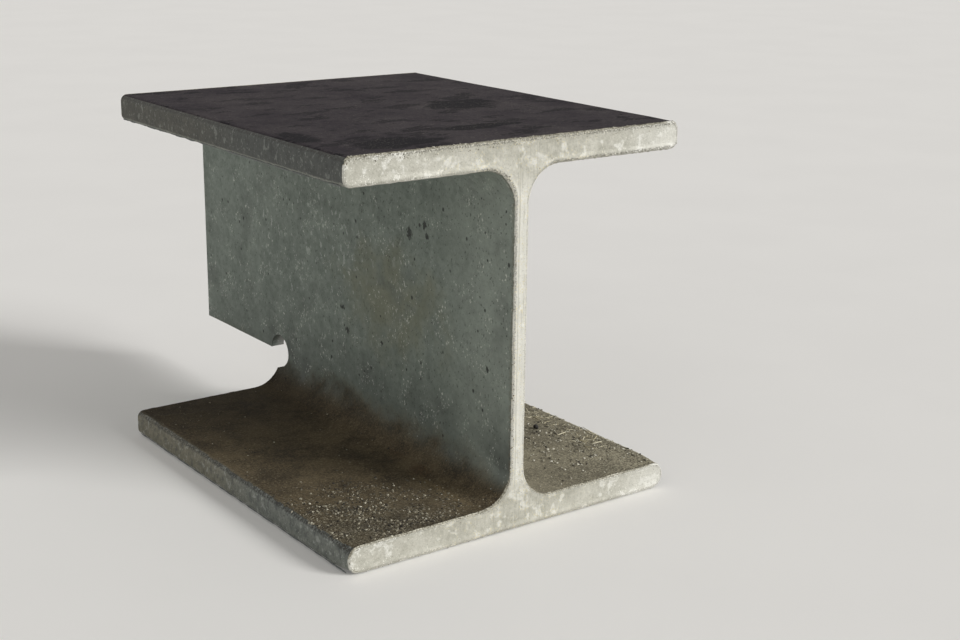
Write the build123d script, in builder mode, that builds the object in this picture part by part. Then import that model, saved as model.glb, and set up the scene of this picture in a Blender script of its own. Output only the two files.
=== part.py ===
from build123d import *
import os

# Wide-flange steel I-beam, rolled in one piece. One end is cut square. The other end
# is coped: both flanges are cut back, and the web runs on as a tongue that fits
# crosswise between the flanges of the same section, up to its web.
# X runs across the flanges, Y along the beam, Z up. The origin is at the centre of
# the beam's box, on the underside.

# Rolled section
section_height = 200
section_width = 200
web_thickness = 9
flange_thickness = 15
root_radius = 18
toe_radius = 4

# Cut to length
flange_length = 235
square_end_edge_radius = 1.5
coped_end_edge_radius = 0.8

# Fit of the tongue between the flanges that it slides in
tongue_web_gap = 1.5
tongue_root_clearance = 2
corner_hole_radius = 10

# The tongue stops short of the web that it meets, and stays clear of the root fillets
cope_length = (section_width - web_thickness) / 2 + tongue_web_gap
cope_depth = flange_thickness + root_radius + tongue_root_clearance
tongue_height = section_height - 2 * cope_depth
web_height = section_height - 2 * flange_thickness

overall_length = flange_length + cope_length
square_end_y = -overall_length / 2
flange_end_y = square_end_y + flange_length
tongue_end_y = overall_length / 2


with BuildPart() as i_beam:
    # The rolled section, drawn at the tongue's end and run back to the square end
    with BuildSketch(Plane.XZ.offset(-tongue_end_y)) as section:
        with Locations((0, flange_thickness / 2), (0, section_height - flange_thickness / 2)):
            Rectangle(section_width, flange_thickness)
        with Locations((0, section_height / 2)):
            Rectangle(web_thickness, web_height)
        web_corners = section.vertices().filter_by_position(Axis.X, -web_thickness, web_thickness)
        fillet(web_corners, root_radius)
        columns_of_corners = section.vertices().group_by(Axis.X)
        fillet(columns_of_corners[0] + columns_of_corners[-1], toe_radius)
    extrude(amount=overall_length)

    # Side view of what is left after both flanges are cut back. A hole drilled through the
    # web at each inner corner of the cut keeps the corner round.
    with BuildSketch(Plane.YZ) as side_view:
        with Locations((square_end_y, 0)):
            Rectangle(flange_length, section_height, align=Align.MIN)
        with Locations((flange_end_y, cope_depth)):
            Rectangle(cope_length, tongue_height, align=Align.MIN)
        with Locations((flange_end_y, cope_depth), (flange_end_y, section_height - cope_depth)):
            Circle(corner_hole_radius, mode=Mode.SUBTRACT)
    extrude(amount=section_width / 2, both=True, mode=Mode.INTERSECT)

    # The saw cut's outline, rounded all the way round by its burr and the zinc on it
    square_end = i_beam.faces().sort_by(Axis.Y)[0]
    fillet(square_end.edges(), square_end_edge_radius)

    # The tongue's end, with its long edges softened
    tongue_end = i_beam.faces().sort_by(Axis.Y)[-1]
    fillet(tongue_end.edges().filter_by(Axis.Z), coped_end_edge_radius)

i_beam.part.label = "i_beam"

os.makedirs("parts", exist_ok=True)
export_step(i_beam.part, "parts/i_beam.step")
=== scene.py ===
import math
import time

import bmesh
import bpy
from mathutils import Matrix, Vector
from mathutils import noise as roughness


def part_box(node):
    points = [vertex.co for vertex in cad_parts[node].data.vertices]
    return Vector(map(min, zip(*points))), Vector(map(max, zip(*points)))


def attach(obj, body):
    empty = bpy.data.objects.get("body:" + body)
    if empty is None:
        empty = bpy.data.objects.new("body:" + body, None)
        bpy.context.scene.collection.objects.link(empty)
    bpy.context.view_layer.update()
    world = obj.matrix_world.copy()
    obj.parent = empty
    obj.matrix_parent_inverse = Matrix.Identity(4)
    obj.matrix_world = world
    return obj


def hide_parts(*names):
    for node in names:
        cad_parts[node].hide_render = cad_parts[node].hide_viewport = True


# A short galvanised wide-flange beam, standing on its bottom flange.
# X runs across the flanges, Y along the beam from the sawn end to the coped end, Z up.
# Sizes and places in the dictionaries are in millimetres, and those of the studio in metres.
# Where a look gives a colour with a number, the number says how strongly the colour covers.

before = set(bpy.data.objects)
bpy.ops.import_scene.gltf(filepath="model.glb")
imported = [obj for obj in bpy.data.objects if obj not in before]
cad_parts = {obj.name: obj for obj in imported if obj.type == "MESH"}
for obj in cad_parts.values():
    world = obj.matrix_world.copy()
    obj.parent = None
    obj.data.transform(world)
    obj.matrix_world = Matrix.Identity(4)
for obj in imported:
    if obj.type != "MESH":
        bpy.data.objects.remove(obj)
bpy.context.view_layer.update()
startTime = time.time()
mm = 0.001
mmPerMetre = 1000.0

beam = {
    "halfWidth": 100.0,
    "halfHeight": 100.0,
    "flangeThickness": 15.0,
    "sawnEndY": -166.0,
    "sawnEdgeRadius": 1.5,
}


def say(stage):
    print(f"{stage}: {time.time() - startTime:.0f} s")


# Node helpers. They add nodes to the tree that was started last, and hand back what comes out.
current = {}


def isSocket(value):
    return isinstance(value, bpy.types.NodeSocket)


def addNode(kind, *values, **settings):
    # Values fill the node's inputs in order, and None leaves one as it is
    node = current["tree"].nodes.new(kind)
    for name, value in settings.items():
        setattr(node, name, value)
    for socket, value in zip(node.inputs, values):
        feed(socket, value)
    return node


def feed(socket, value):
    if isSocket(value):
        current["tree"].links.new(value, socket)
    elif value is not None:
        socket.default_value = value


def plainName(label):
    return label[:1].lower() + label[1:].replace(" ", "")


def feedNamed(node, **values):
    # Names are the node's socket names without their spaces, the first letter small
    for socket in node.inputs:
        label = plainName(socket.name)
        if label in values and socket.enabled:
            feed(socket, values[label])
    return node


def calc(operation, *values, clamp=False):
    return addNode("ShaderNodeMath", *values, operation=operation, use_clamp=clamp).outputs[0]


def chain(operation, first, *others):
    for value in others:
        first = calc(operation, first, value)
    return first


def times(*values):
    return chain("MULTIPLY", *values)


def plus(*values):
    return chain("ADD", *values)


def largest(*values):
    return chain("MAXIMUM", *values)


def minus(first, second):
    return calc("SUBTRACT", first, second)


def over(value, limit):
    return calc("GREATER_THAN", value, limit)


def under(value, limit):
    return calc("LESS_THAN", value, limit)


def size(value):
    return calc("ABSOLUTE", value)


def vector(operation, *values):
    node = addNode("ShaderNodeVectorMath", *values, operation=operation)
    return node.outputs["Value" if operation in {"LENGTH", "DISTANCE", "DOT_PRODUCT"} else "Vector"]


def scaled(place, factor):
    node = addNode("ShaderNodeVectorMath", place, operation="SCALE")
    feed(node.inputs["Scale"], factor)
    return node.outputs["Vector"]


def clamped(place, low, high):
    return vector("MINIMUM", vector("MAXIMUM", place, low), high)


def split(value, axes="XYZ"):
    outputs = addNode("ShaderNodeSeparateXYZ", value).outputs
    return [outputs[axis] for axis in axes]


def join(x, y, z):
    return addNode("ShaderNodeCombineXYZ", x, y, z).outputs[0]


def ramp(value, low, high, start=0.0, end=1.0):
    # A smooth step from start at low to end at high
    return addNode("ShaderNodeMapRange", value, low, high, start, end,
                   interpolation_type="SMOOTHSTEP").outputs[0]


def blend(share, first, second):
    # Mixes two colours
    node = addNode("ShaderNodeMix", data_type="RGBA")
    for index, value in ((0, share), (6, first), (7, second)):
        feed(node.inputs[index], value)
    return node.outputs[2]


def cover(colour, mask, paint):
    # Lays a paint, which is a colour with its strength, over what is there
    tone, strength = paint
    return blend(times(mask, strength), colour, tone)


def between(share, first, second):
    # Mixes two numbers
    gap = minus(second, first) if isSocket(first) or isSocket(second) else second - first
    return calc("MULTIPLY_ADD", share, gap, first)


def perUnit(patch):
    return calc("DIVIDE", 1.0, patch) if isSocket(patch) else 1.0 / patch


def noiseNode(place, patch, detail=1.0, rough=0.5):
    # Patch is the size of one patch, in the units of place
    return feedNamed(addNode("ShaderNodeTexNoise"), vector=place, scale=perUnit(patch), detail=detail,
                     roughness=rough)


def noise(place, patch, detail=1.0, rough=0.5):
    return noiseNode(place, patch, detail, rough).outputs[0]


def wander(place, patch, detail=1.0):
    # Points a random way at each place
    return vector("SUBTRACT", noiseNode(place, patch, detail).outputs["Color"], (0.5, 0.5, 0.5))


def cells(place, patch):
    return feedNamed(addNode("ShaderNodeTexVoronoi"), vector=place, scale=perUnit(patch)).outputs


def stretch(place, x=1.0, y=1.0, z=1.0, turn=(0.0, 0.0, 0.0)):
    # A factor under 1 draws a pattern out along that axis
    return addNode("ShaderNodeMapping", place, None, turn, (x, y, z)).outputs[0]


def colourSteps(value, steps):
    node = addNode("ShaderNodeValToRGB", value)
    band = node.color_ramp
    while len(band.elements) < len(steps):
        band.elements.new(0.5)
    for element, (at, colour) in zip(band.elements, steps):
        element.position = at
        element.color = colour
    return node.outputs[0]


def startGroup(name, kind, inputs, outputs):
    # Inputs and outputs hold the labels of their sockets under each type
    group = current["tree"] = bpy.data.node_groups.new(name, kind)
    for way, sockets in (("INPUT", inputs), ("OUTPUT", outputs)):
        for socketType, labels in sockets.items():
            for label in labels.split(", "):
                group.interface.new_socket(label, in_out=way, socket_type="NodeSocket" + socketType)
    return group, group.nodes.new("NodeGroupInput").outputs, group.nodes.new("NodeGroupOutput")


def useGroup(group, **values):
    return feedNamed(addNode("ShaderNodeGroup", node_tree=group), **values).outputs


def newMaterial(name):
    # Hands back the material, its shader and the place on the piece in millimetres
    material = bpy.data.materials.new(name)
    material.use_nodes = True
    current["tree"] = material.node_tree
    place = scaled(addNode("ShaderNodeTexCoord").outputs["Object"], mmPerMetre)
    return material, material.node_tree.nodes["Principled BSDF"], place


def finish(shader, colour, rough, metal, height, gloss=None):
    # Height is in millimetres
    bump = feedNamed(addNode("ShaderNodeBump"), strength=1.0, distance=mm, height=height)
    feedNamed(shader, baseColor=colour, roughness=rough, metallic=metal, specularIORLevel=gloss,
              normal=bump.outputs[0])


def rgb(red, green, blue):
    # A colour from 0 to 255 as a screen shows it, turned into what a shader takes
    return tuple(c / 255 / 12.92 if c <= 10 else ((c / 255 + 0.055) / 1.055) ** 2.4
                 for c in (red, green, blue)) + (1.0,)


def facing(axes):
    return split(addNode("ShaderNodeNewGeometry").outputs["Normal"], axes)


def addPiece(name, data):
    piece = bpy.data.objects.new(name, data)
    bpy.context.scene.collection.objects.link(piece)
    return piece


def meshFrom(name, shape):
    mesh = bpy.data.meshes.new(name)
    shape.to_mesh(mesh)
    shape.free()
    return mesh


def runNodes(name, mesh, group, **values):
    # Runs a geometry node group on a mesh and hands back the plain mesh that comes out
    holder = addPiece(name, mesh)
    modifier = holder.modifiers.new(group.name, "NODES")
    modifier.node_group = group
    for item in group.interface.items_tree:
        if item.item_type == "SOCKET" and item.in_out == "INPUT" and plainName(item.name) in values:
            modifier[item.identifier] = values[plainName(item.name)]
    graph = bpy.context.evaluated_depsgraph_get()
    made = bpy.data.meshes.new_from_object(holder.evaluated_get(graph), preserve_all_data_layers=True,
                                           depsgraph=graph)
    made.name = name
    bpy.data.objects.remove(holder)
    return made


# Effects that the materials share
def makeMarks():
    # Small round marks, each in a cell of its own. Share is how many cells have one.
    group, given, out = startGroup("roundMarks", "ShaderNodeTree", {
        "Vector": "Vector", "Float": "Cell Size, Mark Size, Share"}, {"Float": "Mask"})
    cell = cells(given["Vector"], given["Cell Size"])
    picks = addNode("ShaderNodeSeparateColor", cell["Color"]).outputs
    radius = times(given["Mark Size"], between(picks[1], 0.3, 1.0))
    soft = calc("DIVIDE", minus(radius, cell["Distance"]), times(radius, 0.45), clamp=True)
    feedNamed(out, mask=times(soft, under(picks[0], given["Share"])))
    return group


def makePatina():
    # Weathered zinc: cloud over finer cloud over faint crystals
    group, given, out = startGroup("zincPatina", "ShaderNodeTree", {
        "Vector": "Vector", "Color": "Dark, Pale",
        "Float": "Cloud Size, Fine Size, Contrast, Fine Share, Crystal"},
        {"Color": "Color", "Float": "Tone, Cloud, Fine"})
    cloud = noise(given["Vector"], given["Cloud Size"], detail=3.0, rough=0.6)
    fine = noise(given["Vector"], given["Fine Size"], detail=2.0, rough=0.65)
    crystal = cells(given["Vector"], times(given["Fine Size"], 1.6))
    facet = addNode("ShaderNodeSeparateColor", crystal["Color"]).outputs[0]
    both = between(given["Fine Share"], cloud, fine)
    both = calc("MULTIPLY_ADD", minus(facet, 0.5), given["Crystal"], both)
    reach = times(given["Contrast"], 0.5)
    tone = addNode("ShaderNodeMapRange", both, minus(0.5, reach), plus(0.5, reach)).outputs[0]
    feedNamed(out, color=blend(tone, given["Dark"], given["Pale"]), tone=tone, cloud=cloud, fine=fine)
    return group


def makeDirt():
    # Dried dirt: patches of two tones with a pale dust on their grain
    group, given, out = startGroup("driedDirt", "ShaderNodeTree", {
        "Vector": "Vector", "Color": "Dark, Middle, Dust", "Float": "Patch Size, Grain Size"},
        {"Color": "Color", "Float": "Patch, Grain"})
    patch = noise(given["Vector"], given["Patch Size"], detail=3.0, rough=0.65)
    grain = noise(given["Vector"], given["Grain Size"], detail=2.0, rough=0.7)
    tone = ramp(between(0.45, patch, grain), 0.32, 0.62)
    colour = blend(tone, given["Dark"], given["Middle"])
    dusty = times(ramp(grain, 0.52, 0.72), ramp(patch, 0.35, 0.6, 0.15, 0.6))
    feedNamed(out, color=blend(dusty, colour, given["Dust"]), patch=patch, grain=grain)
    return group


def makeSpot():
    # One mark at a known place. Wobble makes its rim ragged, and Edge softens it.
    group, given, out = startGroup("knownMark", "ShaderNodeTree", {
        "Vector": "Vector, Centre, Reach", "Float": "Edge, Wobble"}, {"Float": "Mask"})
    local = vector("DIVIDE", vector("SUBTRACT", given["Vector"], given["Centre"]), given["Reach"])
    away = plus(vector("LENGTH", local), given["Wobble"])
    feedNamed(out, mask=ramp(away, plus(1.0, given["Edge"]), minus(1.0, given["Edge"])))
    return group


say("shared effects")
marksGroup = makeMarks()
patinaGroup = makePatina()
dirtGroup = makeDirt()
spotGroup = makeSpot()


def knownMarks(place, marks, edge, ragged):
    # Several known marks, each a centre and a reach, as one mask. Ragged is a noise that shifts their rims.
    wobble = times(minus(ragged, 0.5), 3.0)
    masks = [useGroup(spotGroup, vector=place, centre=centre, reach=reach, edge=edge, wobble=wobble)[0]
             for centre, reach in marks]
    return largest(*masks)


def addPatina(place, look, dark, pale):
    sizes = {name: look[name] for name in ("cloudSize", "fineSize", "contrast", "fineShare", "crystal")}
    return useGroup(patinaGroup, vector=place, dark=dark, pale=pale, **sizes)


dirtLook = {
    "leftDark": rgb(56, 49, 38),
    "leftMiddle": rgb(102, 90, 69),
    "leftDust": rgb(138, 125, 100),
    "rightDark": rgb(101, 96, 81),
    "rightMiddle": rgb(146, 139, 119),
    "rightDust": rgb(198, 191, 163),
    "farEnd": rgb(34, 27, 19),
    "farEndSpan": (-40.0, 60.0),
    "patchSize": 22.0,
    "grainSize": 1.1,
}


def addDirt(place, look):
    # Left and right of the web have their own tones, and a painted shade darkens them towards the coped end,
    # the left most
    x, y = split(place, "XY")
    right = ramp(x, -4.6, -2.0)
    tones = {name.lower(): blend(right, look["left" + name], look["right" + name])
             for name in ("Dark", "Middle", "Dust")}
    dirt = useGroup(dirtGroup, vector=place, patchSize=look["patchSize"], grainSize=look["grainSize"],
                    **tones)
    darker = times(ramp(y, *look["farEndSpan"]), between(right, 0.6, 0.15))
    return blend(darker, dirt["Color"], look["farEnd"]), dirt


webLook = {
    "leftDark": rgb(109, 118, 110),
    "leftPale": rgb(143, 153, 143),
    "rightDark": rgb(150, 150, 146),
    "rightPale": rgb(188, 186, 180),
    "cloudSize": 22.0,
    "fineSize": 2.4,
    "contrast": 0.46,
    "fineShare": 0.5,
    "crystal": 0.16,
    "gloss": 0.28,
    "nearEnd": (rgb(176, 183, 172), 0.3),
    "nearEndSpan": (-80.0, -160.0),
    "olive": (rgb(124, 121, 90), 0.45),
    "olivePlace": (((-4.5, -55.0, 96.0), (3.5, 40.0, 22.0)),),
    "smut": rgb(84, 88, 84),
    "smutSize": 24.0,
    "fleck": (rgb(222, 224, 214), 0.7),
    "fleckSize": 1.5,
    "clusterSize": 11.0,
    "flake": (rgb(188, 193, 186), 0.6),
    "flakeSize": 3.4,
    "flakePlace": (((-4.5, 28.0, 124.0), (3.5, 70.0, 52.0)),),
    "pit": (rgb(40, 42, 40), 0.85),
    "pitDepth": 0.35,
    "smallPits": {"cellSize": 7.0, "markSize": 0.16, "share": 0.6},
    "knownPits": (((-4.5, -75.0, 136.8), (4.0, 2.3, 3.0)), ((-4.5, -89.0, 143.7), (4.0, 1.5, 1.9)),
                  ((-4.5, -91.0, 138.0), (4.0, 1.3, 1.5)), ((-4.5, -145.0, 80.0), (4.0, 1.2, 1.4)),
                  ((-4.5, -47.0, 69.3), (4.0, 1.2, 1.3)), ((-4.5, -11.1, 68.0), (4.0, 2.0, 1.8)),
                  ((-4.5, -6.0, 80.5), (4.0, 1.9, 1.2))),
    "gritBand": (rgb(110, 103, 86), 0.6),
    "gritBandWidth": 4.2,
    "dirtFrom": 40.0,
    "dirtFull": 18.0,
    "dragLine": (rgb(84, 88, 84), 0.35),
}


def makeWebZinc(look):
    material, shader, place = newMaterial("webZinc")
    x, y, z = split(place)
    cut = ramp(facing("Y")[0], 0.5, 0.9)
    side = largest(ramp(x, -3.0, 3.0), cut)
    base = addPatina(place, look, blend(side, look["leftDark"], look["rightDark"]),
                     blend(side, look["leftPale"], look["rightPale"]))
    bloom = noise(place, look["smutSize"], detail=3.0, rough=0.62)
    # A painted pool of light makes the web paler towards the sawn end
    colour = cover(base["Color"], ramp(y, *look["nearEndSpan"]), look["nearEnd"])
    colour = cover(colour, knownMarks(place, look["olivePlace"], 0.7, bloom), look["olive"])

    # Dry dark bloom in patches, and low on the web and in the corners a darkening that is partly dirt and
    # partly painted shade
    low = ramp(z, 80.0, 30.0, 0.0, 0.4)
    bloomAndLowShade = plus(times(ramp(bloom, 0.52, 0.7), 0.3), times(low, ramp(bloom, 0.3, 0.6)))
    colour = blend(calc("MINIMUM", bloomAndLowShade, 0.8), colour, look["smut"])

    # Pale flakes that have run down, and clusters of small bright crystals
    down = noise(stretch(place, z=0.65), look["flakeSize"], detail=3.0, rough=0.65)
    flakes = times(ramp(down, 0.6, 0.645), knownMarks(place, look["flakePlace"], 0.5, bloom))
    colour = cover(colour, flakes, look["flake"])
    aslant = stretch(place, y=1.3, z=0.8, turn=(0.6, 0.0, 0.0))
    speck = noise(aslant, look["fleckSize"], detail=3.0, rough=0.65)
    cluster = ramp(noise(place, look["clusterSize"], detail=3.0), 0.44, 0.62, -0.06, 0.075)
    flecks = ramp(plus(speck, cluster), 0.67, 0.71)
    colour = cover(colour, flecks, look["fleck"])

    # Pits in the zinc
    small = useGroup(marksGroup, vector=stretch(place, z=0.8), **look["smallPits"])[0]
    known = knownMarks(place, look["knownPits"], 0.25, speck)
    pits = largest(small, known, times(ramp(speck, 0.37, 0.32), 0.7))
    colour = cover(colour, pits, look["pit"])

    # Coarse band beside the saw cut, and dirt that has crept up from the flange
    fromEnd = minus(y, beam["sawnEndY"])
    gritty = times(ramp(fromEnd, look["gritBandWidth"], 1.2), ramp(speck, 0.42, 0.56))
    colour = cover(colour, gritty, look["gritBand"])
    dirtColour, dirt = addDirt(place, dirtLook)
    aboveBed = ramp(z, 17.0, 30.0)
    cleaner = plus(times(minus(bloom, 0.5), 40.0), ramp(y, -90.0, -150.0, 0.0, 7.0))
    creep = plus(z, times(cleaner, aboveBed))
    dirty = times(ramp(creep, look["dirtFrom"], look["dirtFull"]), over(z, 14.0))
    colour = blend(dirty, colour, dirtColour)

    # Drag lines on the flame-cut faces of the cope
    drag = noise(stretch(place, x=0.06), 1.4, detail=2.0)
    colour = cover(colour, times(cut, ramp(drag, 0.5, 0.62)), look["dragLine"])
    height = plus(times(base["Fine"], 0.12), times(flecks, 0.05), times(gritty, 0.12),
                  times(pits, -look["pitDepth"]), times(cut, drag, 0.2), times(dirty, dirt["Grain"], 0.2))
    rough = between(dirty, between(base["Tone"], 0.62, 0.52), 0.88)
    metal = times(base["Tone"], between(dirty, 0.25, 0.0))
    finish(shader, colour, rough, metal, height, look["gloss"])
    return material


sawnLook = {
    "dark": rgb(170, 168, 155),
    "pale": rgb(202, 200, 188),
    "cloudSize": 13.0,
    "fineSize": 1.3,
    "contrast": 0.38,
    "fineShare": 0.3,
    "crystal": 0.14,
    "blotch": (rgb(228, 227, 219), 0.66),
    "blotchSize": 6.0,
    "rightSide": (rgb(228, 227, 219), 0.5),
    "rightSpan": (55.0, 98.0),
    "webStrip": (rgb(240, 239, 230), 0.55),
    "webLine": (rgb(134, 132, 118), 0.35),
    "sawLine": (rgb(134, 132, 118), 0.24),
    "sawLineSize": 1.1,
    "speck": (rgb(134, 132, 118), 0.45),
    "speckSize": 0.75,
    "glint": rgb(236, 235, 226),
    "straw": rgb(206, 194, 150),
    "strawSpan": (70.0, 25.0),
    "glintStrength": 0.75,
    "edgeDark": rgb(104, 99, 82),
    "edgeMiddle": rgb(176, 172, 154),
    "edgePale": rgb(240, 239, 230),
    "edgeGrainSize": 0.9,
    "crease": (rgb(104, 101, 90), 0.4),
    "burrDirt": (rgb(104, 101, 90), 0.8),
    "burrWidth": 1.5,
}


def makeSawnZinc(look):
    material, shader, place = newMaterial("sawnZinc")
    x, z = split(place, "XZ")
    facingY, facingZ = facing("YZ")
    rim = addNode("ShaderNodeAttribute", attribute_name="rimDistance").outputs["Fac"]
    base = addPatina(place, look, look["dark"], look["pale"])
    frost = noise(place, look["blotchSize"], detail=2.0, rough=0.6)
    blotch = ramp(frost, 0.53, 0.66)
    colour = cover(base["Color"], blotch, look["blotch"])
    colour = cover(colour, ramp(x, *look["rightSpan"]), look["rightSide"])

    # The web's strip is paler, with a thin grey line along it
    outward = size(x)
    alongWeb = ramp(size(minus(z, beam["halfHeight"])), 84.0, 68.0)
    colour = cover(colour, times(ramp(outward, 14.0, 5.0), alongWeb), look["webStrip"])
    line = times(ramp(size(plus(x, 1.6)), 0.8, 0.2), alongWeb)
    colour = cover(colour, line, look["webLine"])

    # Upright lines that the saw left near the web
    upright = ramp(outward, 36.0, 8.0)
    sawLines = ramp(noise(stretch(place, z=0.08), look["sawLineSize"], detail=2.0), 0.52, 0.7)
    colour = cover(colour, times(upright, sawLines), look["sawLine"])

    # Fine dark specks, and painted glints, pale and straw-coloured, from one grain pattern
    grain = noise(place, look["speckSize"], detail=2.0, rough=0.65)
    colour = cover(colour, ramp(grain, 0.4, 0.33), look["speck"])
    gathered = plus(grain, ramp(frost, 0.4, 0.62, -0.06, 0.03), ramp(rim, 5.0, 1.5, 0.0, 0.04))
    tint = blend(ramp(outward, *look["strawSpan"]), look["glint"], look["straw"])
    colour = cover(colour, ramp(gathered, 0.61, 0.68), (tint, look["glintStrength"]))

    # The rounded edge is grainy and beige where it faces up, and pale elsewhere.
    # A thin crease lies inside it.
    arc = ramp(facingY, -0.985, -0.9)
    upward = times(ramp(facingZ, 0.08, 0.25), ramp(x, 95.0, 89.0))
    edgeGrain = noise(place, look["edgeGrainSize"], detail=2.0, rough=0.65)
    grainy = blend(ramp(edgeGrain, 0.42, 0.6), look["edgeDark"], look["edgeMiddle"])
    arcTone = blend(upward, look["edgePale"], grainy)
    colour = blend(times(arc, between(upward, 0.25, 0.9)), colour, arcTone)
    crease = times(ramp(rim, 0.75, 0.15), ramp(grain, 0.64, 0.44))
    colour = cover(colour, crease, look["crease"])

    # Dirt that holds to the burr along the top, left of the web and under the right-hand flange
    topEdge = times(ramp(z, 194.0, 197.0), ramp(x, -95.0, -40.0, 0.7, 1.0))
    leftOfWeb = times(ramp(x, -2.5, -4.5), ramp(x, -26.0, -20.0), ramp(z, 50.0, 130.0, 0.2, 1.0))
    crust = times(ramp(x, 12.0, 20.0), ramp(z, 188.6, 187.2), over(z, 150.0))
    dirtyEdge = largest(topEdge, leftOfWeb, crust)
    band = times(ramp(rim, look["burrWidth"], 0.2), ramp(grain, 0.56, 0.44), dirtyEdge)
    colour = cover(colour, band, look["burrDirt"])
    height = plus(times(base["Fine"], 0.14), times(blotch, 0.07), times(grain, 0.1),
                  times(upright, sawLines, 0.05))
    finish(shader, colour, between(base["Tone"], 0.6, 0.45), 0.12, height)
    return material


tipLook = {
    "dark": rgb(91, 96, 91),
    "pale": rgb(134, 138, 130),
    "warmDark": rgb(98, 95, 80),
    "warmPale": rgb(140, 136, 118),
    "warmSpan": (-90.0, 0.0),
    "cloudSize": 9.0,
    "fineSize": 1.8,
    "contrast": 0.42,
    "fineShare": 0.42,
    "crystal": 0.14,
    "shade": (rgb(50, 52, 51), 0.72),
    "shadeSpan": (150.0, 180.0),
    "spot": rgb(194, 198, 191),
    "stain": rgb(62, 66, 65),
    "upperLine": rgb(50, 49, 43),
    "rubbedLine": rgb(192, 188, 168),
    "lowerLine": rgb(172, 174, 164),
}


def makeTipZinc(look):
    material, shader, place = newMaterial("tipZinc")
    x, y, z = split(place)
    facingZ = facing("Z")[0]
    warm = ramp(y, *look["warmSpan"])
    base = addPatina(place, look, blend(warm, look["dark"], look["warmDark"]),
                     blend(warm, look["pale"], look["warmPale"]))
    # The top flange's tips are darkened with painted shade
    upper = ramp(z, *look["shadeSpan"])
    colour = cover(base["Color"], upper, look["shade"])

    # Spots and stains, large and small, darker on the top flange, whose tips carry painted shade
    spot = cover(look["spot"], upper, (look["pale"], 0.6))
    stain = cover(look["stain"], upper, (look["upperLine"], 0.6))
    wide = noise(stretch(place, z=0.75), 4.0, detail=3.0, rough=0.62)
    speck = noise(place, 1.1, detail=2.0, rough=0.6)
    for pattern, low, high, paint in ((wide, 0.57, 0.64, (spot, 0.34)), (wide, 0.45, 0.37, (stain, 0.5)),
                                      (speck, 0.64, 0.69, (spot, 0.45)), (speck, 0.38, 0.33, (stain, 0.6))):
        colour = cover(colour, ramp(pattern, low, high), paint)

    # The upper edge is dark with dirt, but pale on the right of the bottom flange
    upperLine = times(ramp(facingZ, 0.3, 0.6), ramp(speck, 0.6, 0.42, 0.3, 0.95))
    paleRight = times(ramp(x, 0.0, 1.0), ramp(z, 100.0, 90.0))
    colour = blend(upperLine, colour, blend(paleRight, look["upperLine"], look["rubbedLine"]))
    drained = times(ramp(facingZ, -0.35, -0.7), ramp(speck, 0.35, 0.6, 0.4, 0.9))
    colour = blend(drained, colour, look["lowerLine"])
    height = plus(times(base["Fine"], 0.14), times(wide, 0.25), times(speck, 0.08))
    finish(shader, colour, between(base["Tone"], 0.66, 0.54), times(base["Tone"], 0.25), height)
    return material


topLook = {
    "dark": rgb(43, 39, 44),
    "pale": rgb(81, 76, 77),
    "cloudSize": 30.0,
    "fineSize": 2.6,
    "contrast": 0.5,
    "fineShare": 0.35,
    "crystal": 0.06,
    "gloss": 0.06,
    "stain": (rgb(11, 10, 15), 0.88),
    "stainSize": 14.0,
    "dust": (rgb(122, 116, 108), 0.55),
    "edge": rgb(124, 121, 112),
    "edgeSpan": (97.6, 99.2),
    "sawnEdge": rgb(138, 133, 116),
    "patches": (((-61.0, -144.0, 200.0), (21.0, 14.0, 9.0)), ((-90.0, -112.0, 200.0), (8.0, 14.0, 9.0)),
                ((0.0, -126.0, 200.0), (26.0, 6.0, 9.0)), ((40.0, -60.0, 200.0), (20.0, 16.0, 9.0))),
}


def makeTopFilmAndShade(look):
    material, shader, place = newMaterial("topFilm")
    # The top face's dark tones are partly a dark film of dirt and partly painted shade
    base = addPatina(place, look, look["dark"], look["pale"])
    runs = noise(stretch(place, x=0.55), look["stainSize"], detail=4.0, rough=0.66)
    patches = knownMarks(place, look["patches"], 0.16, runs)
    stains = largest(patches, times(ramp(runs, 0.54, 0.6), 0.75))
    colour = cover(base["Color"], stains, look["stain"])
    speck = noise(place, 1.0, detail=2.0, rough=0.65)
    dusty = ramp(plus(speck, times(base["Cloud"], 0.16)), 0.69, 0.78)
    colour = cover(colour, dusty, look["dust"])
    outward = size(split(place, "X")[0])
    edge = times(ramp(outward, *look["edgeSpan"]), ramp(speck, 0.35, 0.6, 0.3, 0.9))
    colour = blend(edge, colour, look["edge"])
    overSaw = times(ramp(facing("Y")[0], -0.08, -0.35), ramp(speck, 0.4, 0.56, 0.1, 0.95))
    colour = blend(overSaw, colour, look["sawnEdge"])
    height = plus(times(base["Fine"], 0.14), times(dusty, 0.08), times(speck, 0.05))
    finish(shader, colour, between(stains, 0.92, 0.8), 0.0, height, look["gloss"])
    return material


channelLook = {
    "gloss": 0.22,
    "rust": (rgb(88, 62, 43), 0.4),
    "rustPlaces": (((-10.0, -80.0, 19.0), (5.0, 11.0, 9.0)), ((-17.0, -103.0, 15.0), (4.5, 7.0, 8.0))),
    "streak": (rgb(136, 119, 88), 0.55),
    "streakPlaces": (((-22.5, -134.0, 16.0), (3.0, 24.0, 9.0)),),
    "sand": (rgb(186, 180, 156), 0.6),
    "black": (rgb(30, 27, 23), 0.7),
    "speckSize": 1.0,
    "crumbs": (rgb(108, 103, 88), 0.5),
    "edge": rgb(176, 172, 152),
    "edgeSpan": (96.0, 97.3),
    "sawnEdge": rgb(66, 60, 48),
}


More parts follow.
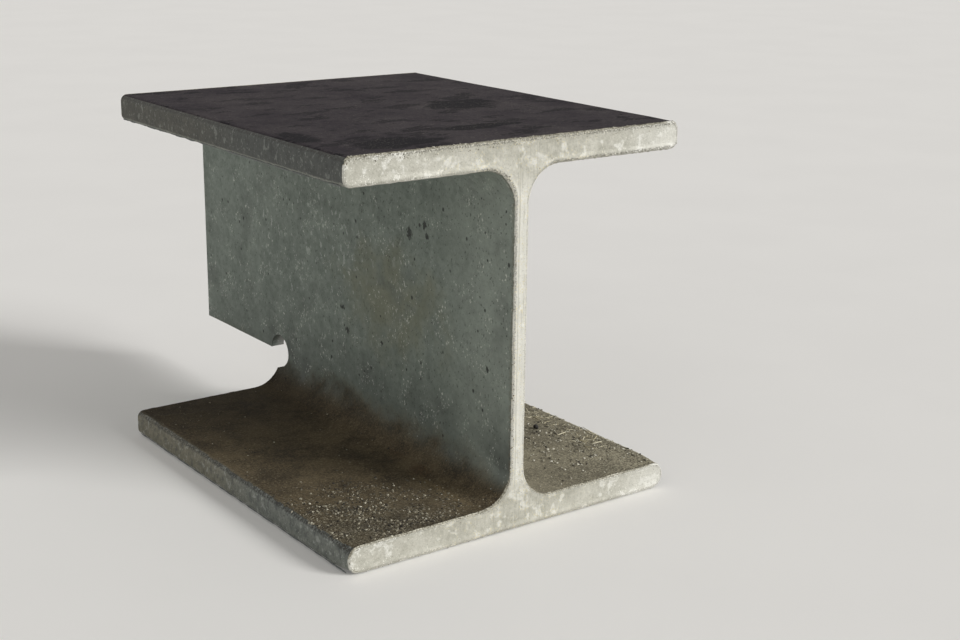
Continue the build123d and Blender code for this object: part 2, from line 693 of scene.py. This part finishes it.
def makeChannelDirt(look):
    material, shader, place = newMaterial("channelDirt")
    x, y = split(place, "XY")
    outward = size(x)
    colour, dirt = addDirt(place, dirtLook)
    broken = ramp(dirt["Grain"], 0.35, 0.6)
    for name, softness in (("rust", 0.7), ("streak", 0.5)):
        marks = times(knownMarks(place, look[name + "Places"], softness, dirt["Patch"]), broken)
        colour = cover(colour, marks, look[name])

    # Grains, pale and dark, thick near the sawn end and along the outer edges
    outer = ramp(outward, 35.0, 92.0, -0.05, 0.03)
    front = ramp(y, -70.0, -145.0, -0.05, 0.04)
    onRight = ramp(x, -1.0, 1.0, 0.0, 0.06)
    grain = noise(place, look["speckSize"], detail=3.0, rough=0.65)
    near = plus(outer, front)
    pale = ramp(plus(grain, near, onRight), 0.62, 0.69)
    colour = cover(colour, pale, look["sand"])
    colour = cover(colour, ramp(minus(grain, near), 0.37, 0.31), look["black"])
    crumbly = times(ramp(y, -105.0, -155.0), ramp(x, -10.0, -60.0), broken)
    colour = cover(colour, crumbly, look["crumbs"])
    edge = times(ramp(outward, *look["edgeSpan"]), ramp(x, 0.0, 1.0, 0.1, 0.9))
    colour = blend(edge, colour, look["edge"])
    overSaw = times(ramp(facing("Y")[0], -0.06, -0.25), ramp(dirt["Grain"], 0.62, 0.45, 0.35, 0.9))
    colour = blend(overSaw, colour, look["sawnEdge"])
    height = plus(times(dirt["Grain"], 0.25), times(dirt["Patch"], 0.5), times(grain, 0.3))
    finish(shader, colour, between(pale, 0.92, 0.8), 0.0, height, look["gloss"])
    return material


grainLooks = {
    "burrZinc": {"rough": 0.6, "metal": 0.15, "steps": (
        (0.0, rgb(92, 88, 74)), (0.35, rgb(138, 134, 118)), (0.75, rgb(182, 178, 163)),
        (1.0, rgb(212, 209, 195)))},
    "dryGrit": {"rough": 0.92, "metal": 0.0, "steps": (
        (0.0, rgb(36, 33, 28)), (0.45, rgb(92, 86, 72)), (0.75, rgb(132, 125, 107)),
        (0.93, rgb(172, 165, 143)), (1.0, rgb(214, 210, 192)))},
    "paleGrit": {"rough": 0.9, "metal": 0.0, "steps": (
        (0.0, rgb(48, 44, 37)), (0.35, rgb(112, 107, 92)), (0.7, rgb(172, 167, 148)),
        (1.0, rgb(226, 222, 206)))},
    "runZinc": {"rough": 0.6, "metal": 0.2, "steps": (
        (0.0, rgb(112, 116, 114)), (1.0, rgb(178, 181, 174)))},
    "dryStraw": {"rough": 0.85, "metal": 0.0, "steps": (
        (0.0, rgb(176, 164, 130)), (1.0, rgb(236, 230, 204)))},
    "burntSteel": {"rough": 0.75, "metal": 0.0, "steps": (
        (0.0, rgb(24, 19, 14)), (1.0, rgb(58, 46, 32)))},
}


def makeGrainMaterial(name, steps, rough, metal):
    # Each grain takes its colour from its own random tone
    material, shader, place = newMaterial(name)
    tone = addNode("ShaderNodeAttribute", attribute_name="grainTone").outputs["Fac"]
    patchy = times(minus(noise(place, 0.7), 0.5), 0.35)
    colour = colourSteps(plus(tone, patchy), steps)
    height = times(noise(place, 0.35), 0.06)
    finish(shader, colour, between(tone, rough, rough - 0.15), metal, height)
    return material


say("materials")
beamFinish = {
    "webMaterial": makeWebZinc(webLook),
    "endMaterial": makeSawnZinc(sawnLook),
    "tipMaterial": makeTipZinc(tipLook),
    "topMaterial": makeTopFilmAndShade(topLook),
    "bedMaterial": makeChannelDirt(channelLook),
}
grainFinish = {name: makeGrainMaterial(name, **values) for name, values in grainLooks.items()}


# The steel's skin, cut into small cells for its relief
skinMesh = {
    "cell": 2.5,
    "endSplit": 3,
    "nearCell": 1.0,
    "nearLength": 12.0,
    "flatAngle": 0.4,
    "sharpAngle": 38,
    "squareOn": 0.999,
    "alongside": 0.02,
    "lengthways": 0.3,
}
# Gaps in metres that count as none
samePlace = 1e-7
weldGap = 1e-6
atSawnEnd = 1e-5


def sliceFaces(mesh, axis, faces, cuts):
    # Cuts the faces at each place along one axis, and passes on only what lies beyond the last cut
    def withReach(face):
        along = [v.co[axis] for v in face.verts]
        return min(along), max(along), face

    normal = [float(axis == k) for k in range(3)]
    waiting = [withReach(face) for face in faces]
    for at in cuts:
        waiting = [row for row in waiting if row[1] > at + samePlace]
        crossing = [row[2] for row in waiting if row[0] < at - samePlace]
        if not crossing:
            continue
        waiting = [row for row in waiting if row[0] >= at - samePlace]
        edges = list({e for f in crossing for e in f.edges})
        corners = list({v for f in crossing for v in f.verts})
        result = bmesh.ops.bisect_plane(mesh, geom=corners + edges + crossing, dist=samePlace,
                                        plane_co=[n * at for n in normal], plane_no=normal)
        waiting += [withReach(f) for f in result["geom"] if isinstance(f, bmesh.types.BMFace)]


def evenCuts(low, high, cell):
    count = max(1, round((high - low) / cell))
    return [low + (high - low) * k / count for k in range(1, count)]


def cutSkin(node, sizes):
    mesh = bmesh.new()
    mesh.from_mesh(node.data)
    bmesh.ops.remove_doubles(mesh, verts=mesh.verts[:], dist=weldGap)
    bmesh.ops.dissolve_limit(mesh, angle_limit=math.radians(sizes["flatAngle"]), verts=mesh.verts[:],
                             edges=mesh.edges[:])
    low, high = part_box(node.name)
    cell = sizes["cell"] * mm
    sawn = low.y + atSawnEnd
    square = -sizes["squareOn"]

    # The outline of the sawn face, kept to measure from
    rimEdges = [e for e in mesh.edges if all(v.co.y < sawn for v in e.verts)
                and sum(f.normal.y < square for f in e.link_faces) == 1]
    outline = bpy.data.meshes.new("sawnOutline")
    corners = {v: k for k, v in enumerate({v for e in rimEdges for v in e.verts})}
    outline.from_pydata([v.co.copy() for v in corners], [[corners[v] for v in e.verts] for e in rimEdges], [])

    # The sawn face is cut finest, and first, while the mesh is small
    for axis in (0, 2):
        sawnFaces = [f for f in mesh.faces if f.normal.y < square and f.calc_center_median().y < sawn]
        sliceFaces(mesh, axis, sawnFaces, evenCuts(low[axis], high[axis], cell / sizes["endSplit"]))
    for axis in (0, 2):
        flat = [f for f in mesh.faces if abs(f.normal[axis]) < sizes["alongside"] and f.normal.y > square]
        sliceFaces(mesh, axis, flat, evenCuts(low[axis], high[axis], cell))
    nearEnd = low.y + sizes["nearLength"] * mm
    cuts = evenCuts(low.y, nearEnd, sizes["nearCell"] * mm) + [nearEnd] + evenCuts(nearEnd, high.y, cell)
    sliceFaces(mesh, 1, [f for f in mesh.faces if abs(f.normal.y) < sizes["lengthways"]], cuts)

    for face in mesh.faces:
        face.smooth = True
        face.normal_update()
    limit = math.radians(sizes["sharpAngle"])
    for edge in mesh.edges:
        edge.smooth = not edge.is_manifold or edge.calc_face_angle() < limit
    return meshFrom("beamSkin", mesh), outline


# Steps that the geometry node groups share
def pointPlace():
    return scaled(addNode("GeometryNodeInputPosition").outputs[0], mmPerMetre)


def move(geometry, **where):
    return feedNamed(addNode("GeometryNodeSetPosition", geometry), **where).outputs[0]


def holdInBox(geometry, given):
    spot = addNode("GeometryNodeInputPosition").outputs[0]
    return move(geometry, position=clamped(spot, given["Box Low"], given["Box High"]))


def setMaterial(geometry, material, where=None):
    painted = addNode("GeometryNodeSetMaterial", geometry)
    return feedNamed(painted, selection=where, material=material).outputs[0]


def dress(geometry, given):
    # Loose pieces become plain mesh, stay inside the box and take their material
    plain = addNode("GeometryNodeRealizeInstances", geometry).outputs[0]
    smooth = addNode("GeometryNodeSetShadeSmooth", holdInBox(plain, given))
    return setMaterial(feedNamed(smooth, shadeSmooth=True).outputs[0], given["Material"])


relief = {
    "waveDepth": 0.25,
    "waveSize": 38.0,
    "pebbleDepth": 0.10,
    "pebbleSize": 5.0,
    "lipHeight": 0.22,
    "lipWidth": 4.0,
    "endRecess": 0.30,
    "ragged": 0.30,
    "toeRound": 7.3,
    "topToeRound": 4.8,
    "toeReach": 18.0,
    "crustDepth": 0.5,
    "crustSize": 7.0,
}
finishLimits = {
    "bedTop": 42.0,
    "topFrom": 190.0,
    "tipFrom": 95.5,
    "endDepth": 3.0,
}


def makeRelief(limits):
    group, given, out = startGroup("zincRelief", "GeometryNodeTree", {
        "Geometry": "Geometry", "Object": "Outline", "Vector": "Box Low, Box High",
        "Float": "Wave Depth, Wave Size, Pebble Depth, Pebble Size, Lip Height, Lip Width, End Recess, "
                 "Ragged, Toe Round, Top Toe Round, Toe Reach, Crust Depth, Crust Size",
        "Material": "Web Material, End Material, Tip Material, Top Material, Bed Material"},
        {"Geometry": "Geometry"})
    normal = addNode("GeometryNodeInputNormal").outputs[0]
    place = pointPlace()
    x, y, z = split(place)
    facingX, facingY, facingZ = split(normal)
    fromEnd = minus(y, beam["sawnEndY"])

    # How far each point lies from the outline of the sawn face
    near = addNode("GeometryNodeProximity", target_element="EDGES")
    feed(near.inputs["Target"], addNode("GeometryNodeObjectInfo", given["Outline"]).outputs["Geometry"])
    rim = times(near.outputs["Distance"], mmPerMetre)
    kept = addNode("GeometryNodeStoreNamedAttribute", given["Geometry"], data_type="FLOAT", domain="POINT")
    feedNamed(kept, name="rimDistance", value=rim)

    # The rolled surface waves a little, all of it inside the steel's nominal outline
    wave = times(noise(place, given["Wave Size"]), given["Wave Depth"])
    pebble = times(noise(place, given["Pebble Size"]), given["Pebble Depth"])
    lip = times(ramp(rim, 1.4, given["Lip Width"]), given["Lip Height"])
    ragged = times(ramp(noise(place, 2.6, detail=2.0), 0.35, 0.7), given["Ragged"], ramp(rim, 4.5, 1.5))
    sawn = times(ramp(facingY, -0.7, -0.95), under(fromEnd, 1.0))
    recess = times(ramp(rim, 0.6, 2.6), given["End Recess"], sawn)
    sunk = plus(times(plus(wave, pebble, lip, ragged), between(sawn, 1.0, 0.4)), recess)

    # Caked dirt in the bottom of the channels
    bed = times(ramp(facingZ, 0.6, 0.95), under(z, 40.0))
    cake = times(ramp(noise(place, given["Crust Size"], detail=3.0, rough=0.6), 0.4, 0.75),
                 given["Crust Depth"], bed)
    shift = scaled(normal, times(minus(cake, sunk), mm))

    # The flange tips are rounder where they meet the sawn face, those of the bottom flange most
    half = beam["flangeThickness"] / 2
    fromMiddle = minus(z, beam["halfHeight"])
    flangeMiddle = times(calc("SIGN", fromMiddle), beam["halfHeight"] - half)
    up = minus(fromMiddle, flangeMiddle)
    toeRound = between(over(fromMiddle, 0.0), given["Toe Round"], given["Top Toe Round"])
    acrossToe = plus(size(x), toeRound, -beam["halfWidth"])
    upToe = plus(size(up), toeRound, -half)
    corner = join(largest(acrossToe, 0.0), 0.0, largest(upToe, 0.0))

    # The sawn edge is rounded too, and its outline keeps the same distance inside the tip's
    edgeRadius = beam["sawnEdgeRadius"]
    short = largest(minus(edgeRadius, fromEnd), 0.0)
    left = calc("SQRT", minus(edgeRadius ** 2, times(short, short)))
    beyond = plus(minus(vector("LENGTH", corner), toeRound), minus(edgeRadius, left))
    pull = times(largest(beyond, 0.0), over(acrossToe, 0.0), ramp(fromEnd, given["Toe Reach"], 1.0), -mm)
    outwards = vector("MULTIPLY", vector("NORMALIZE", corner), join(calc("SIGN", x), 0.0, calc("SIGN", up)))
    moved = move(kept.outputs[0], offset=vector("ADD", shift, scaled(outwards, pull)))
    painted = addNode("GeometryNodeRealizeInstances", holdInBox(moved, given)).outputs[0]

    # Each surface takes its finish by where it lies and faces
    faceUp = over(facingZ, ramp(size(x), 30.0, 32.0, 0.9, 0.3))
    zones = {
        "Web Material": None,
        "Bed Material": times(faceUp, under(z, limits["bedTop"])),
        "Top Material": times(over(facingZ, 0.45), over(z, limits["topFrom"])),
        "Tip Material": times(over(size(x), limits["tipFrom"]), over(size(facingX), 0.5)),
        "End Material": times(under(facingY, -0.45), under(fromEnd, limits["endDepth"])),
    }
    for label, zone in zones.items():
        painted = setMaterial(painted, given[label], zone)
    feedNamed(out, geometry=painted)
    return group


say("skin")
boxLow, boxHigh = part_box("i_beam")
skinBase, outlineMesh = cutSkin(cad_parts["i_beam"], skinMesh)
say(f"skin is cut into {len(skinBase.polygons)} faces")
sawnOutline = addPiece("sawnOutline", outlineMesh)
beamSkin = addPiece("beamSkin", runNodes("beamSkin", skinBase, makeRelief(finishLimits), outline=sawnOutline,
                                         boxLow=boxLow, boxHigh=boxHigh, **beamFinish, **relief))
bpy.data.objects.remove(sawnOutline)
say("relief")


# Zinc beads on the burr, and grit that lies in the channels
def randomNumber(seed, low, high, add):
    # Add keeps the draws of one grain apart
    node = addNode("FunctionNodeRandomValue", data_type="FLOAT")
    return feedNamed(node, min=low, max=high, seed=plus(seed, add)).outputs[1]


def makeScatter():
    group, given, out = startGroup("scatterGrains", "GeometryNodeTree", {
        "Geometry": "Geometry", "Int": "Seed", "Material": "Material",
        "Vector": "Region Low, Region High, Facing, Dense Centre, Box Low, Box High",
        "Float": "Facing From, Facing To, Density, Clump Size, Clump From, Clump To, Dense Reach, Far Share, "
                 "Smallest, Largest, Length, Flatness, Lift"}, {"Geometry": "Geometry"})
    seed = given["Seed"]
    fullTurn = 6.283
    place = pointPlace()
    turned = vector("DOT_PRODUCT", addNode("GeometryNodeInputNormal").outputs[0], given["Facing"])
    outside = vector("DISTANCE", clamped(place, given["Region Low"], given["Region High"]), place)
    wanted = times(over(turned, given["Facing From"]), under(turned, given["Facing To"]),
                   under(outside, 0.001))

    clump = ramp(noise(place, given["Clump Size"], detail=2.0), given["Clump From"], given["Clump To"])
    away = vector("DISTANCE", place, given["Dense Centre"])
    thinning = ramp(calc("DIVIDE", away, given["Dense Reach"]), 0.25, 1.0, 1.0, given["Far Share"])
    density = times(clump, thinning, given["Density"], mmPerMetre ** 2)
    sown = feedNamed(addNode("GeometryNodeDistributePointsOnFaces", given["Geometry"]),
                     selection=wanted, density=density, seed=seed)

    # Three grains of different shape
    bag = addNode("GeometryNodeJoinGeometry")
    for k in range(3):
        ball = addNode("GeometryNodeMeshIcoSphere", mm, 1)
        push = wander(vector("ADD", place, (7.0 * k, 3.0, 1.0)), 1.1, detail=0.0)
        grain = move(ball.outputs["Mesh"], offset=scaled(push, 1.5 * mm))
        feed(bag.inputs[0], addNode("GeometryNodeGeometryToInstance", grain).outputs[0])

    # Many small ones, few large
    chance = calc("POWER", randomNumber(seed, 0.0, 1.0, 1), 2.5)
    girth = between(chance, given["Smallest"], given["Largest"])
    long = times(girth, given["Length"], randomNumber(seed, 0.75, 1.35, 2))
    tall = times(girth, given["Flatness"], randomNumber(seed, 0.7, 1.3, 3))
    lifted = scaled(sown.outputs["Normal"], times(tall, given["Lift"], mm))
    lean = calc("DIVIDE", 0.4, given["Length"])
    spin = join(times(lean, randomNumber(seed, -1.0, 1.0, 4)), times(lean, randomNumber(seed, -1.0, 1.0, 5)),
                randomNumber(seed, 0.0, fullTurn, 6))
    turn = addNode("FunctionNodeRotateRotation", sown.outputs["Rotation"],
                   addNode("FunctionNodeEulerToRotation", spin).outputs[0], rotation_space="LOCAL")
    pick = addNode("FunctionNodeRandomValue", data_type="INT")
    feedNamed(pick, min=0, max=2, seed=plus(seed, 7))
    placed = addNode("GeometryNodeInstanceOnPoints", move(sown.outputs["Points"], offset=lifted))
    feedNamed(placed, instance=bag.outputs[0], pickInstance=True, instanceIndex=pick.outputs[2],
              rotation=turn.outputs[0], scale=join(long, girth, tall))
    toned = addNode("GeometryNodeStoreNamedAttribute", placed.outputs[0], data_type="FLOAT",
                    domain="INSTANCE")
    feedNamed(toned, name="grainTone", value=randomNumber(seed, 0.0, 1.0, 8))
    feedNamed(out, geometry=dress(toned.outputs[0], given))
    return group


anyGrain = {"facingTo": 1.1, "denseReach": 1000.0, "farShare": 0.2, "length": 1.0}
onTheBurr = {**anyGrain, "facing": (0, -1, 0), "facingFrom": 0.12, "facingTo": 0.985, "clumpSize": 4.0,
             "clumpFrom": 0.3, "clumpTo": 0.6, "flatness": 0.7, "lift": 0.0,
             "material": grainFinish["burrZinc"]}
onTheBed = {**anyGrain, "facing": (0, 0, 1), "facingFrom": 0.6, "flatness": 0.65, "lift": 0.15}
grains = {
    "burrTop": {**onTheBurr, "regionLow": (-101, -167, 196), "regionHigh": (101, -164.4, 201),
                "density": 1.7, "smallest": 0.14, "largest": 0.46, "seed": 11},
    "burrWeb": {**onTheBurr, "regionLow": (-26, -167, 14), "regionHigh": (-3, -164.4, 187),
                "density": 1.0, "smallest": 0.12, "largest": 0.42, "seed": 12},
    "burrLower": {**onTheBurr, "regionLow": (9, -167, 183), "regionHigh": (101, -164.4, 188),
                  "density": 1.2, "smallest": 0.12, "largest": 0.5, "seed": 13},
    "burrFoot": {**onTheBurr, "regionLow": (-101, -167, -1), "regionHigh": (101, -164.4, 17),
                 "density": 0.5, "clumpFrom": 0.45, "smallest": 0.12, "largest": 0.36, "seed": 14},
    "gritLeft": {**onTheBed, "regionLow": (-98, -165, 10), "regionHigh": (-8, 70, 34),
                 "density": 1.5, "clumpSize": 9.0, "clumpFrom": 0.38, "clumpTo": 0.62,
                 "denseCentre": (-84, -158, 15), "denseReach": 80.0, "farShare": 0.012,
                 "smallest": 0.18, "largest": 0.75, "seed": 23, "material": grainFinish["dryGrit"]},
    "gritRight": {**onTheBed, "regionLow": (8, -165, 10), "regionHigh": (98, 70, 34),
                  "density": 0.5, "clumpSize": 8.0, "clumpFrom": 0.42, "clumpTo": 0.62,
                  "denseCentre": (98, -110, 15), "denseReach": 80.0, "farShare": 0.08,
                  "smallest": 0.18, "largest": 0.9, "seed": 37, "material": grainFinish["paleGrit"]},
    "strawBits": {**onTheBed, "regionLow": (78, -132, 10), "regionHigh": (98, -30, 34),
                  "density": 0.06, "clumpSize": 12.0, "clumpFrom": 0.36, "clumpTo": 0.56, "length": 12.0,
                  "smallest": 0.18, "largest": 0.4, "lift": 0.6, "seed": 41,
                  "material": grainFinish["dryStraw"]},
    "webPimples": {**anyGrain, "regionLow": (-30, -164, 20), "regionHigh": (30, 165, 184),
                   "facing": (1, 0, 0), "facingFrom": -1.1, "density": 0.02, "clumpSize": 24.0,
                   "clumpFrom": 0.42, "clumpTo": 0.62, "smallest": 0.14, "largest": 0.5, "flatness": 0.45,
                   "lift": 0.0, "seed": 5, "material": grainFinish["runZinc"]},
}

say("grains")
scatterGroup = makeScatter()
addedPieces = []
for name, values in grains.items():
    made = runNodes(name, beamSkin.data, scatterGroup, boxLow=boxLow, boxHigh=boxHigh, **values)
    addedPieces.append(addPiece(name, made))
    say(f"{name} has {len(made.polygons)} faces")


# Thin beads of zinc that drained to the lower edges of the flanges
def makeRun():
    group, given, out = startGroup("drainedZinc", "GeometryNodeTree", {
        "Geometry": "Geometry", "Vector": "Start, End, Box Low, Box High", "Material": "Material",
        "Float": "Step, Thinnest, Thickest, Lump Size, Wander"}, {"Geometry": "Geometry"})
    place = pointPlace()
    line = addNode("GeometryNodeCurvePrimitiveLine", scaled(given["Start"], mm), scaled(given["End"], mm))
    points = addNode("GeometryNodeResampleCurve", line.outputs[0], mode="LENGTH")
    feedNamed(points, length=times(given["Step"], mm))
    bent = move(points.outputs[0], offset=scaled(wander(place, 6.0), times(given["Wander"], mm)))
    lump = ramp(noise(place, given["Lump Size"], detail=2.0), 0.35, 0.7)
    thick = times(between(lump, given["Thinnest"], given["Thickest"]), mm)
    ring = feedNamed(addNode("GeometryNodeCurvePrimitiveCircle"), resolution=7, radius=1.0)
    tube = addNode("GeometryNodeCurveToMesh", bent, ring.outputs[0])
    feedNamed(tube, scale=thick, fillCaps=True)
    feedNamed(out, geometry=dress(tube.outputs[0], given))
    return group


runLook = {
    "step": 1.2,
    "thinnest": 0.1,
    "thickest": 0.5,
    "lumpSize": 9.0,
    "wander": 0.3,
}
runPlaces = {
    "length": (-162.0, 68.0),
    "heights": {"Top": 186.1, "Bottom": 1.1},
    "sides": {"Left": -98.6, "Right": 98.6},
}

say("runs of zinc")
runGroup = makeRun()
fromY, toY = runPlaces["length"]
for flange, z in runPlaces["heights"].items():
    for side, x in runPlaces["sides"].items():
        name = "run" + flange + side
        made = runNodes(name, bpy.data.meshes.new("blank"), runGroup, boxLow=boxLow, boxHigh=boxHigh,
                        material=grainFinish["runZinc"], start=(x, fromY, z), end=(x, toY, z), **runLook)
        addedPieces.append(addPiece(name, made))


# One burnt bead of weld spatter on the right of the bottom flange
spatter = {
    "place": (74.6, -86.8, 15.8),
    "radius": 1.5,
    "lumps": 0.25,
}


def addSpatter(look):
    ball = bmesh.new()
    bmesh.ops.create_icosphere(ball, subdivisions=3, radius=look["radius"] * mm)
    for corner in ball.verts:
        corner.co *= 1.0 + look["lumps"] * roughness.noise(corner.co / (look["radius"] * mm))
        corner.co += Vector(look["place"]) * mm
    for face in ball.faces:
        face.smooth = True
    mesh = meshFrom("weldSpatter", ball)
    mesh.materials.append(grainFinish["burntSteel"])
    return addPiece("weldSpatter", mesh)


addedPieces.append(addSpatter(spatter))


# Studio
studio = {
    "floorColour": rgb(236, 234, 230),
    "floorRadius": 9.0,
    "floorSides": 96,
    "wornShade": 0.98,
    "wornPatch": 0.14,
    "backColour": (0.80, 0.79, 0.775, 1.0),
    "worldStrength": 0.39,
    "floorGlow": 0.12,
    "aim": (0.0, -0.05, 0.1),
    "lamps": {
        "keyLight": {"place": (2.85, -4.85, 2.95), "spread": 21.0, "strength": 2.36},
        "fillLight": {"place": (-3.4, -1.75, 1.9), "spread": 46.0, "strength": 0.22},
    },
}


def addLight(name, aim, place, spread, strength):
    # A wide far-off lamp, so that the floor is lit evenly. Spread is in degrees.
    lamp = bpy.data.lights.new(name, "SUN")
    lamp.angle = math.radians(spread)
    lamp.energy = strength
    holder = addPiece(name, lamp)
    holder.location = place
    holder.rotation_euler = (Vector(aim) - Vector(place)).to_track_quat("-Z", "Y").to_euler()


def seenDirectly():
    rays = addNode("ShaderNodeLightPath").outputs
    return largest(rays["Is Camera Ray"], rays["Is Glossy Ray"], rays["Is Transmission Ray"])


def addFloor(look):
    disc = bmesh.new()
    bmesh.ops.create_circle(disc, cap_ends=True, segments=look["floorSides"], radius=look["floorRadius"])
    sheet = meshFrom("studioFloor", disc)
    material, shader, place = newMaterial("floorPaint")
    worn = tuple(look["wornShade"] * c for c in look["floorColour"][:3]) + (1.0,)
    cloud = ramp(noise(place, look["wornPatch"] / mm, detail=3.0), 0.3, 0.7)
    feedNamed(shader, baseColor=blend(cloud, look["floorColour"], worn), roughness=0.85)

    # The floor is seen paler than it is lit, so that the lamps needn't be stronger
    feedNamed(shader, emissionColor=look["backColour"],
              emissionStrength=times(seenDirectly(), look["floorGlow"]))
    sheet.materials.append(material)
    addPiece("studioFloor", sheet)


def setWorld(look):
    world = bpy.data.worlds.new("studioAir")
    bpy.context.scene.world = world
    world.use_nodes = True
    tree = current["tree"] = world.node_tree
    strength = between(seenDirectly(), look["worldStrength"], 1.0)
    feedNamed(tree.nodes["Background"], color=look["backColour"], strength=strength)


photoView = {
    "place": (-441.7, -730.0, 316.0),
    "turn": 36.48,
    "down": 16.05,
    "roll": 0.69,
    "lens": 57.39,
    "sensorWidth": 36.0,
    "nearest": 10.0,
}


def addCamera(view):
    lens = bpy.data.cameras.new("photoCamera")
    lens.lens = view["lens"]
    lens.sensor_width = view["sensorWidth"]
    lens.clip_start = view["nearest"] * mm
    holder = addPiece("photoCamera", lens)
    turn = Matrix.Rotation(math.radians(-view["turn"]), 4, "Z")
    tilt = Matrix.Rotation(math.radians(90.0 - view["down"]), 4, "X")
    roll = Matrix.Rotation(math.radians(view["roll"]), 4, "Z")
    holder.matrix_world = Matrix.Translation(Vector(view["place"]) * mm) @ turn @ tilt @ roll
    bpy.context.scene.camera = holder


say("studio")
addFloor(studio)
setWorld(studio)
for name, lamp in studio["lamps"].items():
    addLight(name, studio["aim"], **lamp)
addCamera(photoView)
bpy.context.scene.view_settings.view_transform = "Standard"

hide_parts("i_beam")
for piece in [beamSkin, *addedPieces]:
    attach(piece, "root")
    say(f"{piece.name}: {sum(len(f.vertices) - 2 for f in piece.data.polygons)} triangles")
